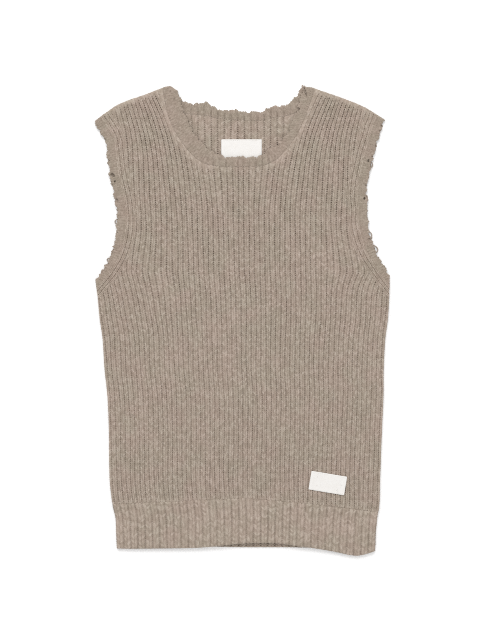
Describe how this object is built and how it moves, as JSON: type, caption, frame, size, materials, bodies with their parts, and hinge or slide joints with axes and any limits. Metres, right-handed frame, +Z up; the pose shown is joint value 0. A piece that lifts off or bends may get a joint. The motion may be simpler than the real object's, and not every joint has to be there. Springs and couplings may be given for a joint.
{
  "type": "knitted sweater vest",
  "caption": "Sleeveless vest in thick ribbed wool with a round neck, worn plain bands and a ribbed hem, laid flat on its back.",
  "frame": {"origin": "middle of the vest's bounding box, on the surface that it lies on", "axes": "+Y from the hem to the neck, +X to the wearer's left, +Z up, out of the front of the vest"},
  "size_m": [0.402, 0.6412, 0.0094],
  "materials": {
    "ribbed_wool": "marled taupe wool in a thick rib, matt and slightly hairy",
    "plain_wool_band": "the same wool knitted plain, with a worn and ragged edge",
    "woven_label": "bare white woven tape, soft satin"
  },
  "bodies": {
    "root": {"front_panel": "ribbed_wool", "back_panel": "ribbed_wool", "front_hem_rib": "ribbed_wool", "back_hem_rib": "ribbed_wool", "neck_band": "plain_wool_band", "armhole_band_wearer_right": "plain_wool_band", "armhole_band_wearer_left": "plain_wool_band", "front_label": "woven_label", "neck_label": "woven_label"}
  },
  "joints": []
}
